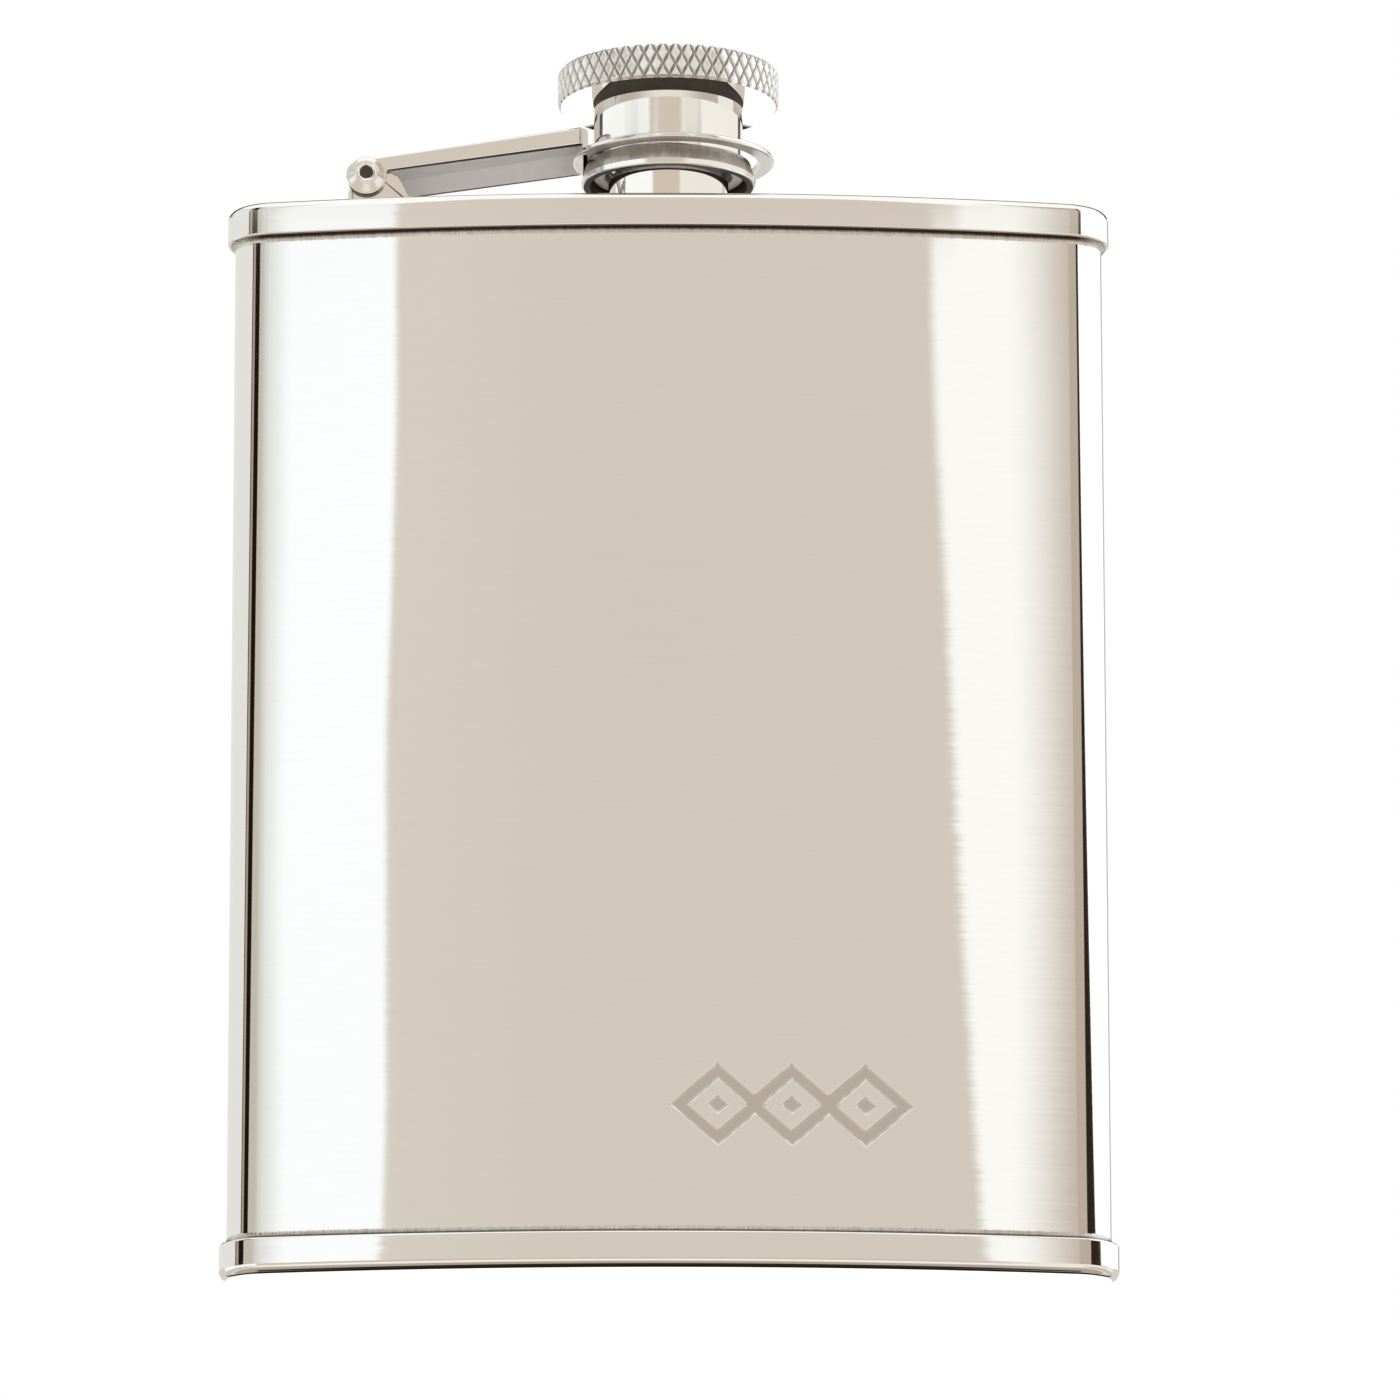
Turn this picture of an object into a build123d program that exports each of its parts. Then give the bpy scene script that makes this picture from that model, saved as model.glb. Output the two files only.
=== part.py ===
"""Small stainless steel hip flask with a captive screw cap.

A bent, kidney-shaped sleeve stands between two drawn end pans. The neck rises from the top pan.
The cap is held by a pressed arm: its ring loosely surrounds the cap barrel, and its other end
turns on a pin in a bracket on the top pan. At rest the cap is backed off its thread, so the arm
can swing straight away from here, and the cap can be screwed down by its whole travel.

Millimetres. +Z is up, the convex front faces -Y, the hinge is on the -X side, and the origin is
the centre of the base.
"""

import os
from math import asin, cos, degrees, radians, sqrt

from build123d import *

# ---- driving dimensions --------------------------------------------------------------------
body_height = 90.0  # base to the top pan's plate
body_width = 72.0  # across the sleeve
body_thickness = 15.0  # front sheet to back sheet, measured along the curve's radius
front_radius = 175.0  # plan radius of the convex front
front_corner = 3.6  # plan radius between front and side
back_corner = 8.6  # plan radius between side and back
sleeve_sheet = 0.5
pan_sheet = 0.6  # the pan's skirt stands this much proud of the sleeve
pan_skirt = 2.9  # height of the skirt
pan_edge = 0.75  # rounding between plate and skirt
skirt_lip = 0.18  # rounding of the skirt's free edge
bead_height = 0.55  # weld bead at each skirt
bead_width = 0.45

neck_radius = 5.0
neck_bore = 4.0
neck_rise = 5.3  # neck top above the plate
neck_collar_rise = 2.9  # plain part of the neck, below its thread
neck_flange_radius = 6.6
neck_weld_leg = 0.4
thread_core = 4.55
thread_crest = 5.0
thread_pitch = 1.0
thread_base = 0.46  # ridge width at its root
thread_tip = 0.2

cap_travel = 1.8  # how far the cap screws down from rest
head_radius = 9.2
head_low = 9.5  # head's underside above the plate
head_thickness = 2.9
head_edge = 0.35
barrel_radius = 6.2
barrel_cavity = 5.3
barrel_low = 3.4
spigot_radius = 3.0  # barrel's stub, pressed into the head
spigot_height = 1.6
cap_thread_crest = 4.74
seal_radius = 5.2
seal_thickness = 1.0
seal_gap = 0.02
collar_radius = 7.3
collar_mouth = 6.55  # recess below the barrel's end
collar_low = 2.6
collar_high = 4.45
collar_band = 0.55  # height of the polished band below the cone

pin_x = -25.1
pin_rise = 2.9
pin_radius = 0.8
pin_bore = 0.42
pin_clearance = 0.03
rivet_radius = 1.05
rivet_height = 0.25
arm_sheet = 0.45
arm_width = 6.8
arm_start_x = -23.2  # where the channel's web starts
arm_start_rise = 4.3  # top of the channel there
arm_start_flange = 1.2  # depth of its side walls there
arm_end_x = -7.15  # where the channel stops, beside the barrel
arm_end_rise = 6.9
arm_end_flange = 1.55
arm_lobe = 1.65
arm_lobe_drop = 0.25  # lobe's centre below the pin
arm_eye_clearance = 0.05
ring_shift = 0.4  # slack of the ring on the barrel, to +X
ring_radius = 8.4
ring_hole = 7.0
ring_rise = 4.55  # ring's underside above the plate

bracket_sheet = 0.6
bracket_gap = 0.1  # side play inside the arm
bracket_front_x = -28.0
bracket_back_x = -21.1
bracket_shoulder_x = -22.5  # the ear's back edge, at the pin's height
bracket_ear = 1.55

# ---- derived places ------------------------------------------------------------------------
back_radius = front_radius - body_thickness
front_turn = front_radius - front_corner
half_angle = degrees(
    asin((body_width / 2 - front_corner) / front_turn) + asin(front_corner / front_turn)
)
back_turn = back_radius + back_corner
back_angle = half_angle - degrees(asin(back_corner / back_turn))
depth_behind_neck = (
    (front_radius - body_thickness / 2) - back_turn * cos(radians(back_angle)) + back_corner + pan_sheet
)
neck_y = (head_radius - depth_behind_neck) / 2
curve_y = neck_y - body_thickness / 2 + front_radius
side_seam_y = curve_y - sqrt(front_turn**2 - (body_width / 2 - front_corner) ** 2) + 1.6
plate_z = body_height
neck_top = plate_z + neck_rise
pin_z = plate_z + pin_rise
seal_low = neck_top + cap_travel + seal_gap
cavity_top = seal_low + seal_thickness + seal_gap
ridge_start = plate_z + neck_collar_rise + 0.45
ridge_turns = 1.7
cap_ridge_start = ridge_start + 2.5 * thread_pitch
cap_ridge_turns = 1.0

neck_plane = Plane((0, neck_y, 0))
side_plane = Plane((0, neck_y, 0), x_dir=(1, 0, 0), z_dir=(0, -1, 0))  # local x = X, local y = Z


def save(node, name, colour):
    """Labels a finished piece and writes it as its own STEP file."""
    node.part.label = name
    node.part.color = Color(*colour)
    export_step(node.part, f"parts/{name}.step")
    print(f"{name}: {len(node.part.solids())} solid(s), {node.part.volume:.2f} mm3")


os.makedirs("parts", exist_ok=True)
polished = (0.82, 0.81, 0.79)
satin = (0.62, 0.61, 0.6)
dark = (0.3, 0.3, 0.3)

# ---- plan outlines -------------------------------------------------------------------------
with BuildSketch() as sleeve_outline:
    with BuildLine() as sleeve_edge:
        front = CenterArc((0, curve_y), front_radius, 270 - half_angle, 2 * half_angle)
        back = CenterArc((0, curve_y), back_radius, 270 - half_angle, 2 * half_angle)
        Line(front @ 0, back @ 0)
        Line(front @ 1, back @ 1)
    make_face()
    fillet(sleeve_outline.vertices().group_by(Axis.Y)[0], front_corner)
    fillet(sleeve_outline.vertices().sort_by_distance((0, curve_y))[:2], back_corner)

with BuildSketch() as pan_outline:
    add(sleeve_outline.sketch)
    offset(amount=pan_sheet, kind=Kind.ARC)

with BuildSketch() as sleeve_hollow:
    add(sleeve_outline.sketch)
    offset(amount=-sleeve_sheet, kind=Kind.ARC)

with BuildSketch() as bead_outline:
    add(sleeve_outline.sketch)
    offset(amount=bead_width, kind=Kind.ARC)

# ---- casing --------------------------------------------------------------------------------
with BuildPart() as body_sleeve:
    with BuildSketch(Plane.XY.offset(pan_sheet)):
        add(sleeve_outline.sketch)
        add(sleeve_hollow.sketch, mode=Mode.SUBTRACT)
    extrude(amount=body_height - 2 * pan_sheet)
save(body_sleeve, "body_sleeve", polished)

with BuildPart() as side_seam:
    # The butt weld that closes the sleeve, a low strip inside its -X end.
    with BuildSketch(Plane.XY.offset(pan_skirt)):
        with Locations((-body_width / 2 + sleeve_sheet, side_seam_y)):
            Rectangle(0.5, 1.2, align=(Align.MIN, Align.CENTER))
        add(sleeve_hollow.sketch, mode=Mode.INTERSECT)
    extrude(amount=body_height - 2 * pan_skirt)
save(side_seam, "side_seam_weld", dark)

with BuildPart() as bottom_pan:
    with BuildSketch():
        add(pan_outline.sketch)
    extrude(amount=pan_skirt)
    fillet(bottom_pan.faces().sort_by(Axis.Z)[0].edges(), pan_edge)
    fillet(bottom_pan.faces().sort_by(Axis.Z)[-1].edges(), skirt_lip)
    with BuildSketch(Plane.XY.offset(pan_sheet)):
        add(sleeve_outline.sketch)
    extrude(amount=pan_skirt, mode=Mode.SUBTRACT)
save(bottom_pan, "bottom_pan", polished)

with BuildPart() as top_pan:
    with BuildSketch(Plane.XY.offset(plate_z - pan_skirt)):
        add(pan_outline.sketch)
    extrude(amount=pan_skirt)
    fillet(top_pan.faces().sort_by(Axis.Z)[-1].edges(), pan_edge)
    fillet(top_pan.faces().sort_by(Axis.Z)[0].edges(), skirt_lip)
    with BuildSketch(Plane.XY.offset(plate_z - pan_sheet)):
        add(sleeve_outline.sketch)
    extrude(amount=-pan_skirt, mode=Mode.SUBTRACT)
    with BuildSketch(neck_plane.offset(plate_z)):
        Circle(neck_radius)
    extrude(amount=-pan_sheet, mode=Mode.SUBTRACT)
save(top_pan, "top_pan", polished)


def weld_bead(low, name):
    """A low bead round the sleeve, from height low up, with its free edge broken."""
    free_face = -1 if low < body_height / 2 else 0
    with BuildPart() as bead:
        with BuildSketch(Plane.XY.offset(low)):
            add(bead_outline.sketch)
        extrude(amount=bead_height)
        chamfer(bead.faces().sort_by(Axis.Z)[free_face].edges(), 0.3)
        with BuildSketch(Plane.XY.offset(low)):
            add(sleeve_outline.sketch)
        extrude(amount=bead_height, mode=Mode.SUBTRACT)
    save(bead, name, satin)


weld_bead(pan_skirt, "bottom_seam_weld")
weld_bead(plate_z - pan_skirt - bead_height, "top_seam_weld")


# ---- neck ----------------------------------------------------------------------------------
def thread_ridge(root, crest, start, turns):
    """A helical ridge from radius root to radius crest, its middle starting at height start."""
    reach = crest - root
    buried = 0.08 if reach > 0 else -0.08
    path = Helix(thread_pitch, turns * thread_pitch, abs(root), center=(0, neck_y, start))
    frame = Plane(path @ 0, x_dir=(1, 0, 0), z_dir=path % 0)
    with BuildPart(mode=Mode.PRIVATE) as ridge:
        with BuildSketch(frame):
            with BuildLine():
                Polyline(
                    (-buried, -thread_base / 2),
                    (reach, -thread_tip / 2),
                    (reach, thread_tip / 2),
                    (-buried, thread_base / 2),
                    close=True,
                )
            make_face()
        sweep(path=path, is_frenet=True)
    return ridge.part


with BuildPart() as neck:
    with BuildSketch(side_plane):
        with BuildLine():
            Polyline(
                (neck_bore, plate_z - pan_sheet - 0.5),
                (neck_flange_radius, plate_z - pan_sheet - 0.5),
                (neck_flange_radius, plate_z - pan_sheet),
                (neck_radius, plate_z - pan_sheet),
                (neck_radius, plate_z + neck_collar_rise),
                (thread_core, plate_z + neck_collar_rise + 0.15),
                (thread_core, neck_top - 0.15),
                (thread_core - 0.15, neck_top),
                (neck_bore, neck_top),
                close=True,
            )
        make_face()
    revolve(axis=Axis((0, neck_y, 0), (0, 0, 1)))
    add(thread_ridge(thread_core, thread_crest, ridge_start, ridge_turns))
save(neck, "neck_spout", polished)

with BuildPart() as neck_weld:
    # Fillet of filler metal where the neck leaves the plate.
    with BuildSketch(side_plane):
        with BuildLine():
            Polyline(
                (neck_radius, plate_z),
                (neck_radius + neck_weld_leg, plate_z),
                (neck_radius, plate_z + neck_weld_leg),
                close=True,
            )
        make_face()
    revolve(axis=Axis((0, neck_y, 0), (0, 0, 1)))
save(neck_weld, "neck_weld", satin)

# ---- hinge bracket and pin -----------------------------------------------------------------
bracket_width = arm_width - 2 * arm_sheet - 2 * bracket_gap
with BuildPart() as bracket:
    with BuildSketch(side_plane.offset(bracket_width / 2)):
        with BuildLine():
            Polyline(
                (bracket_front_x + 0.9, plate_z),
                (bracket_back_x, plate_z),
                (bracket_shoulder_x, pin_z),
                (pin_x + 0.7 * bracket_ear, pin_z + 0.7 * bracket_ear),
                (pin_x - bracket_ear, pin_z),
                close=True,
            )
        make_face()
        with Locations((pin_x, pin_z)):
            Circle(bracket_ear)
            Circle(pin_radius + pin_clearance, mode=Mode.SUBTRACT)
    extrude(amount=-bracket_width)
    # The gap between the two ears, above the foot.
    with BuildSketch(side_plane.offset(bracket_width / 2 - bracket_sheet)):
        with Locations((pin_x, plate_z + bracket_sheet)):
            Rectangle(12, 12, align=(Align.CENTER, Align.MIN))
    extrude(amount=-(bracket_width - 2 * bracket_sheet), mode=Mode.SUBTRACT)
save(bracket, "hinge_bracket", polished)

with BuildPart() as pin:
    # Tubular rivet: shank through arm and bracket, with a turned-over head at each end.
    shank_half = arm_width / 2 + arm_eye_clearance
    with BuildSketch(side_plane.offset(shank_half)):
        with Locations((pin_x, pin_z)):
            Circle(pin_radius)
    extrude(amount=-2 * shank_half)
    for side in (1, -1):
        with BuildSketch(side_plane.offset(side * shank_half)):
            with Locations((pin_x, pin_z)):
                Circle(rivet_radius)
        extrude(amount=side * rivet_height, taper=35)
    with BuildSketch(side_plane.offset(shank_half + rivet_height)):
        with Locations((pin_x, pin_z)):
            Circle(pin_bore)
    extrude(amount=-2 * (shank_half + rivet_height), mode=Mode.SUBTRACT)
save(pin, "hinge_pin", satin)

# ---- captive arm ---------------------------------------------------------------------------
arm_length = arm_end_x - arm_start_x


def arm_top(x):
    """Height of the channel's top at x."""
    return plate_z + arm_end_rise + (x - arm_end_x) * (arm_end_rise - arm_start_rise) / arm_length


def arm_bottom(x):
    """Height of the lower edge of the channel's side walls at x."""
    taper = (arm_end_flange - arm_start_flange) / arm_length
    return arm_top(x) - arm_end_flange - (x - arm_end_x) * taper


with BuildPart() as arm:
    # Side view of the channel, cut from a block as wide as the arm.
    with BuildSketch(side_plane.offset(arm_width / 2)):
        with BuildLine():
            Polyline(
                (pin_x, arm_top(pin_x)),
                (arm_end_x, arm_top(arm_end_x)),
                (arm_end_x, arm_bottom(arm_end_x)),
                (pin_x, arm_bottom(pin_x)),
                close=True,
            )
        make_face()
        with Locations((pin_x, pin_z - arm_lobe_drop)):
            Circle(arm_lobe)
    extrude(amount=-arm_width)
    # Hollow of the channel: below its web, and open right through at the pin.
    with BuildSketch(side_plane.offset(arm_width / 2 - arm_sheet)):
        with BuildLine():
            Polyline(
                (pin_x - 4, plate_z),
                (pin_x - 4, plate_z + 9),
                (arm_start_x, plate_z + 9),
                (arm_start_x, arm_top(arm_start_x) - arm_sheet),
                (arm_end_x + 1, arm_top(arm_end_x + 1) - arm_sheet),
                (arm_end_x + 1, plate_z),
                close=True,
            )
        make_face()
    extrude(amount=-(arm_width - 2 * arm_sheet), mode=Mode.SUBTRACT)
    # The web turns down past the end of the side walls and meets the ring.
    with BuildSketch(side_plane.offset(arm_width / 2 - arm_sheet)):
        with BuildLine():
            Polyline(
                (arm_end_x - 0.3, arm_top(arm_end_x - 0.3)),
                (arm_end_x, arm_top(arm_end_x)),
                (arm_end_x + 0.3, arm_top(arm_end_x) - 0.13),
                (arm_end_x + arm_sheet, arm_top(arm_end_x) - arm_sheet),
                (arm_end_x + arm_sheet, plate_z + ring_rise),
                (arm_end_x - 0.3, plate_z + ring_rise),
                close=True,
            )
        make_face()
    extrude(amount=-(arm_width - 2 * arm_sheet))
    with BuildSketch(neck_plane.offset(plate_z + ring_rise)):
        with Locations((ring_shift, 0)):
            Circle(ring_radius)
            Circle(ring_hole, mode=Mode.SUBTRACT)
    extrude(amount=arm_sheet)
    # Eyes for the pin.
    with BuildSketch(side_plane.offset(arm_width / 2)):
        with Locations((pin_x, pin_z)):
            Circle(pin_radius + pin_clearance)
    extrude(amount=-arm_width, mode=Mode.SUBTRACT)
save(arm, "captive_arm", polished)

# ---- cap -----------------------------------------------------------------------------------
with BuildPart() as head:
    with BuildSketch(neck_plane.offset(plate_z + head_low)):
        Circle(head_radius)
    extrude(amount=head_thickness)
    chamfer(head.edges().filter_by(GeomType.CIRCLE), head_edge)
    with BuildSketch(neck_plane.offset(plate_z + head_low)):
        Circle(spigot_radius)
    extrude(amount=spigot_height, mode=Mode.SUBTRACT)
save(head, "cap_head", satin)

with BuildPart() as barrel:
    with BuildSketch(neck_plane.offset(plate_z + barrel_low)):
        Circle(barrel_radius)
    extrude(amount=head_low - barrel_low)
    with BuildSketch(neck_plane.offset(plate_z + head_low)):
        Circle(spigot_radius)
    extrude(amount=spigot_height)
    with BuildSketch(neck_plane.offset(plate_z + barrel_low)):
        Circle(barrel_cavity)
    extrude(amount=cavity_top - plate_z - barrel_low, mode=Mode.SUBTRACT)
    add(thread_ridge(barrel_cavity, cap_thread_crest, cap_ridge_start, cap_ridge_turns))
save(barrel, "cap_barrel", polished)

with BuildPart() as collar:
    # Coned lower rim that keeps the arm's ring on the barrel.
    band_top = plate_z + collar_low + collar_band
    with BuildSketch(side_plane):
        with BuildLine():
            Polyline(
                (barrel_radius, plate_z + collar_high),
                (barrel_radius + 0.65, plate_z + collar_high),
                (collar_radius - 0.08, band_top),
                (collar_radius, band_top - 0.08),
                (collar_radius - 0.08, plate_z + collar_low + 0.12),
                (collar_radius - 0.22, plate_z + collar_low),
                (collar_mouth, plate_z + collar_low),
                (collar_mouth, plate_z + barrel_low),
                (barrel_radius, plate_z + barrel_low),
                close=True,
            )
        make_face()
    revolve(axis=Axis((0, neck_y, 0), (0, 0, 1)))
save(collar, "retaining_collar", satin)

with BuildPart() as seal:
    with BuildSketch(neck_plane.offset(seal_low)):
        Circle(seal_radius)
    extrude(amount=seal_thickness)
save(seal, "cap_seal", dark)

print(f"neck axis at y = {neck_y:.3f}, depth of body and cap = {depth_behind_neck + head_radius:.2f}")
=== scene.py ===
"""Looks of the hip flask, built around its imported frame.

Metres in the CAD's frame. Inside the shape code, lengths are in millimetres and are scaled once,
when a mesh is made.
"""

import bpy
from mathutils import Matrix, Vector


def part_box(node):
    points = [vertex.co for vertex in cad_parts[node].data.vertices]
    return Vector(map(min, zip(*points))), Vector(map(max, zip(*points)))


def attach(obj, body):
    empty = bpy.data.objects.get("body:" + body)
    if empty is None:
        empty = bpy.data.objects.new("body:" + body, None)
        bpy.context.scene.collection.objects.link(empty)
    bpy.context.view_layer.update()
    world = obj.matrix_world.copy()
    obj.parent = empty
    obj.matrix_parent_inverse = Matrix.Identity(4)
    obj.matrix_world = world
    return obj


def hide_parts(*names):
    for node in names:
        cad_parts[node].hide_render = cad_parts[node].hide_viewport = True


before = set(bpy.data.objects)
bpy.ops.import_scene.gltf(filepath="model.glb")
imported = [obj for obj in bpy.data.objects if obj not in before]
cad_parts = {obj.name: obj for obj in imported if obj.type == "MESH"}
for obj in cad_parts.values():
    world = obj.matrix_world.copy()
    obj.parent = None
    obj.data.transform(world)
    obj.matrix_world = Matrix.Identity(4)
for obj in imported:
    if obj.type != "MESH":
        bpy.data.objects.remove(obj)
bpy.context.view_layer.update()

import math

import bpy
from mathutils import Matrix, Vector

MM = 0.001


# ---- sizes taken from the frame, in mm -----------------------------------------------------
def box_mm(node):
    lo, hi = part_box(node)
    return lo / MM, hi / MM


sleeve_lo, sleeve_hi = box_mm("body_sleeve")
base_lo, base_hi = box_mm("bottom_pan")
neck_lo, neck_hi = box_mm("neck_spout")
head_lo, head_hi = box_mm("cap_head")
barrel_lo, _ = box_mm("cap_barrel")
collar_lo, collar_hi = box_mm("retaining_collar")
pin_lo, pin_hi = box_mm("hinge_pin")
bracket_lo, bracket_hi = box_mm("hinge_bracket")
seal_lo, seal_hi = box_mm("cap_seal")

CX = (neck_lo.x + neck_hi.x) / 2  # axis of neck and cap
CY = (neck_lo.y + neck_hi.y) / 2
PIN_X = (pin_lo.x + pin_hi.x) / 2
PIN_Z = (pin_lo.z + pin_hi.z) / 2
PLATE = box_mm("top_pan")[1].z
SKIRT = base_hi.z - base_lo.z
PROUD = base_hi.x - sleeve_hi.x  # of the pans' skirts over the sleeve

# ---- sizes the frame doesn't state, as in the CAD, in mm -----------------------------------
THICK = 15.0
FRONT_R = 175.0
BACK_R = FRONT_R - THICK
FRONT_CORNER = 3.6
BACK_CORNER = 8.6
CURVE_Y = CY - THICK / 2 + FRONT_R
SLEEVE_SHEET = 0.5
PAN_SHEET = 0.6
PAN_EDGE = 0.75
PAN_LIP = 0.18
BEAD_HEIGHT, BEAD_WIDTH = 0.55, 0.45
NECK_BORE, NECK_CORE, NECK_R, NECK_FLANGE = 4.0, 4.55, 5.0, 6.6
NECK_WELD = 0.4
PLAIN_NECK_TOP = 92.9
PIN_R = 0.8
ARM_HALF = 3.4  # half its width, over its side walls
ARM_SHEET = 0.45
ARM_LOW = PLATE + 4.55  # underside of the arm's ring
RING_R, RING_HOLE, RING_SHIFT = 8.4, 7.0, 0.4
BARREL_R, CAVITY_R, CAVITY_TOP = 6.2, 5.3, 98.14
THREAD_PITCH = 1.0


# ---- node helpers --------------------------------------------------------------------------
def node(tree, kind, inputs=(), **props):
    n = tree.nodes.new(kind)
    for key, value in props.items():
        setattr(n, key, value)
    for key, value in dict(inputs).items():
        if isinstance(value, bpy.types.NodeSocket):
            tree.links.new(value, n.inputs[key])
        else:
            n.inputs[key].default_value = value
    return n


def calc(tree, op, a, b=0.0):
    return node(tree, "ShaderNodeMath", {0: a, 1: b}, operation=op).outputs[0]


def ramp(tree, value, low, high):
    """Smooth 0 to 1 as value goes from low to high."""
    return node(
        tree, "ShaderNodeMapRange", {"Value": value, "From Min": low, "From Max": high},
        interpolation_type="SMOOTHSTEP",
    ).outputs["Result"]


def band(tree, value, low, high, soft):
    """1 between low and high, 0 outside, with soft edges."""
    inside = ramp(tree, calc(tree, "SUBTRACT", value, low), -soft, soft)
    beyond = ramp(tree, calc(tree, "SUBTRACT", value, high), -soft, soft)
    return calc(tree, "SUBTRACT", inside, beyond)


def blend(tree, factor, a, b):
    """Colour a where factor is 0, and b where it is 1."""
    n = node(tree, "ShaderNodeMix", data_type="RGBA")
    factor_in = n.inputs[0]
    if isinstance(factor, bpy.types.NodeSocket):
        tree.links.new(factor, factor_in)
    else:
        factor_in.default_value = factor
    colours = [s for s in n.inputs if s.type == "RGBA"]
    for socket, value in zip(colours, (a, b)):
        if isinstance(value, bpy.types.NodeSocket):
            tree.links.new(value, socket)
        else:
            socket.default_value = (*value, 1.0)
    return [s for s in n.outputs if s.type == "RGBA"][0]


def new_material(name):
    """An empty node material and its tree."""
    mat = bpy.data.materials.new(name)
    mat.use_nodes = True
    mat.node_tree.nodes.clear()
    return mat, mat.node_tree


# ---- studio --------------------------------------------------------------------------------
def studio_world():
    """Soft studio all round: a warm sheet in front, light cards at the sides, dark gaps between.

    In degrees, az is a direction's angle from the front, positive to the right, and el its height.
    """
    world = bpy.data.worlds.new("studio")
    bpy.context.scene.world = world
    world.use_nodes = True
    t = world.node_tree
    t.nodes.clear()

    def plus(a, b):
        return calc(t, "ADD", a, b)

    def minus(a, b):
        return calc(t, "SUBTRACT", a, b)

    def times(a, b):
        return calc(t, "MULTIPLY", a, b)

    def power(a, b):
        return calc(t, "POWER", a, b)

    def limited(value, high):
        return calc(t, "MINIMUM", calc(t, "MAXIMUM", value, 0.0), high)

    def painted(colour, value, steps):
        """Paints over a colour: each step's colour takes over as value goes from a to b."""
        for a, b, over in steps:
            colour = blend(t, ramp(t, value, a, b), colour, over)
        return colour

    toward = node(t, "ShaderNodeTexCoord").outputs["Generated"]
    x, y, z = node(t, "ShaderNodeSeparateXYZ", {0: toward}).outputs
    az = calc(t, "DEGREES", calc(t, "ARCTAN2", x, times(y, -1.0)))
    el = calc(t, "DEGREES", calc(t, "ARCSINE", z))
    wide = calc(t, "ABSOLUTE", az)
    lean = limited(minus(16.0, el), 8.0)
    rise = limited(minus(el, 16.0), 30.0)

    # The front sheet is warm, and a little lighter to the left.
    colour = painted((0.742, 0.678, 0.604), az, [(-4.0, -14.0, (0.775, 0.715, 0.645))])

    # Left of it: white card, grey falloff, a dark gap with a tan strip, pale side.
    left_edge = plus(plus(az, times(lean, 0.12)), times(rise, -0.09))
    colour = painted(colour, left_edge, [(-15.5, -16.0, (1.12, 1.17, 1.19))])
    colour = painted(colour, az, [
        (-22.0, -24.2, (0.80, 0.80, 0.77)),
        (-26.0, -45.0, (0.60, 0.58, 0.50)),
    ])
    colour = painted(colour, plus(az, times(lean, 2.4)), [
        (-46.5, -48.5, (0.012, 0.008, 0.005)),
        (-60.0, -62.0, (0.46, 0.36, 0.29)),
        (-67.0, -68.0, (0.03, 0.02, 0.015)),
        (-69.5, -71.0, (0.87, 0.88, 0.85)),
    ])

    # Right of it: white card, tan falloff, a thin dark gap, white side, grey towards the back.
    right_edge = plus(minus(az, times(power(lean, 1.6), 0.17)), times(rise, 0.12))
    right_edge = minus(right_edge, times(ramp(t, el, 15.83, 15.88), 1.6))
    colour = painted(colour, right_edge, [(15.9, 16.7, (1.11, 1.12, 1.10))])
    colour = painted(colour, az, [(20.6, 26.0, (0.57, 0.475, 0.395))])
    colour = painted(colour, minus(az, lean), [(44.5, 46.5, (0.03, 0.02, 0.015))])
    far_edge = minus(az, times(power(lean, 2.0), 0.75))
    colour = painted(colour, far_edge, [(51.0, 53.0, (1.3, 1.3, 1.29))])
    colour = painted(colour, az, [(146.0, 152.0, (0.55, 0.54, 0.53))])

    # What the cap and the neck mirror: a wider warm sheet between plain light sides.
    cap = painted((0.726, 0.62, 0.52), az, [
        (-27.0, -33.0, (1.10, 1.12, 1.11)),
        (18.0, 24.0, (0.97, 0.94, 0.87)),
    ])
    cap = blend(t, band(t, az, 138.0, 150.0, 1.0), cap, (0.08, 0.06, 0.05))
    cap = blend(t, band(t, az, -136.0, -124.0, 1.0), cap, (0.06, 0.05, 0.04))
    cap = painted(cap, az, [(-136.0, -138.0, (0.62, 0.52, 0.44))])
    colour = blend(t, band(t, el, 16.09, 17.4, 0.02), colour, cap)
    colour = blend(t, band(t, el, -18.0, 6.0, 0.5), colour, cap)

    # Below: a bright strip that falls off to the sides, then tan, then black.
    strip = painted((1.1, 1.08, 1.03), wide, [(14.0, 62.0, (0.66, 0.60, 0.535))])
    colour = painted(colour, el, [
        (-17.0, -21.0, strip),
        (-28.0, -41.0, (0.80, 0.75, 0.69)),
        (-41.0, -46.0, (0.50, 0.42, 0.34)),
        (-70.0, -76.0, (0.03, 0.022, 0.018)),
    ])

    # Behind, near the level: tan, with a white card straight behind. Black lies below them.
    level = band(t, el, -25.0, 9.0, 0.5)
    colour = blend(t, times(ramp(t, wide, 115.0, 125.0), level), colour, (0.76, 0.70, 0.63))
    colour = blend(t, times(ramp(t, wide, 171.5, 176.5), level), colour, (1.3, 1.3, 1.3))
    under = times(ramp(t, el, -25.0, -26.0), ramp(t, wide, 148.0, 156.0))
    colour = blend(t, under, colour, (0.02, 0.015, 0.01))

    # Overhead: white from above the front sheet over to the back, where it ends in a dark band.
    colour = painted(colour, el, [(44.0, 48.0, (1.15, 1.14, 1.12))])
    back = ramp(t, wide, 135.0, 150.0)
    colour = blend(t, times(back, band(t, el, 19.0, 62.0, 1.0)), colour, (0.32, 0.28, 0.25))
    colour = blend(t, times(back, band(t, el, 19.0, 40.0, 1.0)), colour, (0.05, 0.04, 0.03))

    seen = node(t, "ShaderNodeLightPath").outputs["Is Camera Ray"]
    colour = blend(t, seen, colour, (1.0, 1.0, 1.0))
    light = node(t, "ShaderNodeBackground", {"Color": colour})
    node(t, "ShaderNodeOutputWorld", {"Surface": light.outputs[0]})


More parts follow.
